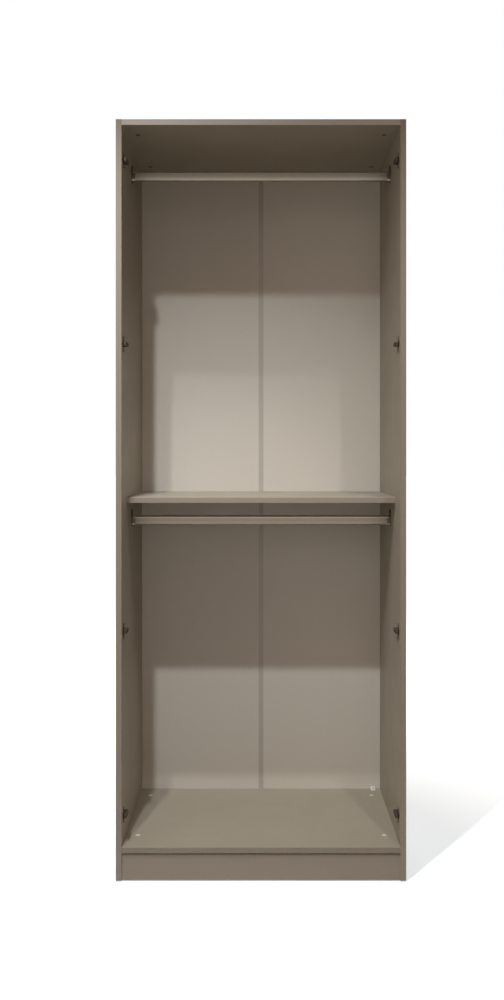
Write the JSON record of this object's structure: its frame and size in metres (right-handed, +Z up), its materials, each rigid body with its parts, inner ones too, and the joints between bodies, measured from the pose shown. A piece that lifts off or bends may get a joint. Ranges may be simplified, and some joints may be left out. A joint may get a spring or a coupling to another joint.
{
  "type": "open wardrobe carcass",
  "caption": "Tall open wardrobe carcass without doors: taupe boards, paler back, fixed middle shelf, oval hanging rails in open sockets and hinge plates for doors.",
  "frame": {"origin": "on the floor, below the middle of the whole wardrobe", "axes": "+Z up, +X to the right as seen from the open front, +Y from the front to the back"},
  "size_m": [0.8, 0.52, 2.1],
  "materials": {
    "board": "matt taupe melamine on chipboard",
    "edge_band": "matt taupe edge band",
    "back_board": "pale painted hardboard face, bare brown rear",
    "joint_strip": "satin extruded plastic",
    "rail_metal": "satin chromed tube",
    "socket_metal": "nickelled die casting",
    "hinge_metal": "nickelled steel",
    "cam_metal": "bare zinc die casting",
    "bolt_steel": "zinc plated",
    "dowel_wood": "bare beech",
    "glide_plastic": "dark moulded plastic",
    "clip_plastic": "off-white moulded plastic"
  },
  "bodies": {
    "carcass": {"left_side": "board", "right_side": "board", "top_panel": "board", "bottom_panel": "board", "middle_shelf": "board", "plinth_front": "board", "plinth_rear": "board", "left_side_band": "edge_band", "right_side_band": "edge_band", "top_panel_band": "edge_band", "bottom_panel_band": "edge_band", "middle_shelf_band": "edge_band", "back_panel_left": "back_board", "back_panel_right": "back_board", "back_joint_strip": "joint_strip", "back_clip": "clip_plastic", "rail_socket_upper_left": "socket_metal", "rail_socket_upper_right": "socket_metal", "rail_socket_lower_left": "socket_metal", "rail_socket_lower_right": "socket_metal", "hinge_plate_left_1": "hinge_metal", "hinge_plate_left_2": "hinge_metal", "hinge_plate_left_3": "hinge_metal", "hinge_plate_left_4": "hinge_metal", "hinge_plate_right_1": "hinge_metal", "hinge_plate_right_2": "hinge_metal", "hinge_plate_right_3": "hinge_metal", "hinge_plate_right_4": "hinge_metal", "top_cams": "cam_metal", "bottom_cams": "cam_metal", "shelf_cams": "cam_metal", "top_cam_bolts": "bolt_steel", "bottom_cam_bolts": "bolt_steel", "shelf_cam_bolts": "bolt_steel", "plinth_dowels": "dowel_wood", "floor_glides": "glide_plastic"},
    "upper_rail": {"upper_rail": "rail_metal"},
    "lower_rail": {"lower_rail": "rail_metal"}
  },
  "joints": [
    {"name": "upper_rail_lift", "type": "slide", "parent": "carcass", "child": "upper_rail", "axis": [0, 0, 1], "range_m": [0, 0.03]},
    {"name": "lower_rail_lift", "type": "slide", "parent": "carcass", "child": "lower_rail", "axis": [0, 0, 1], "range_m": [0, 0.03]}
  ]
}
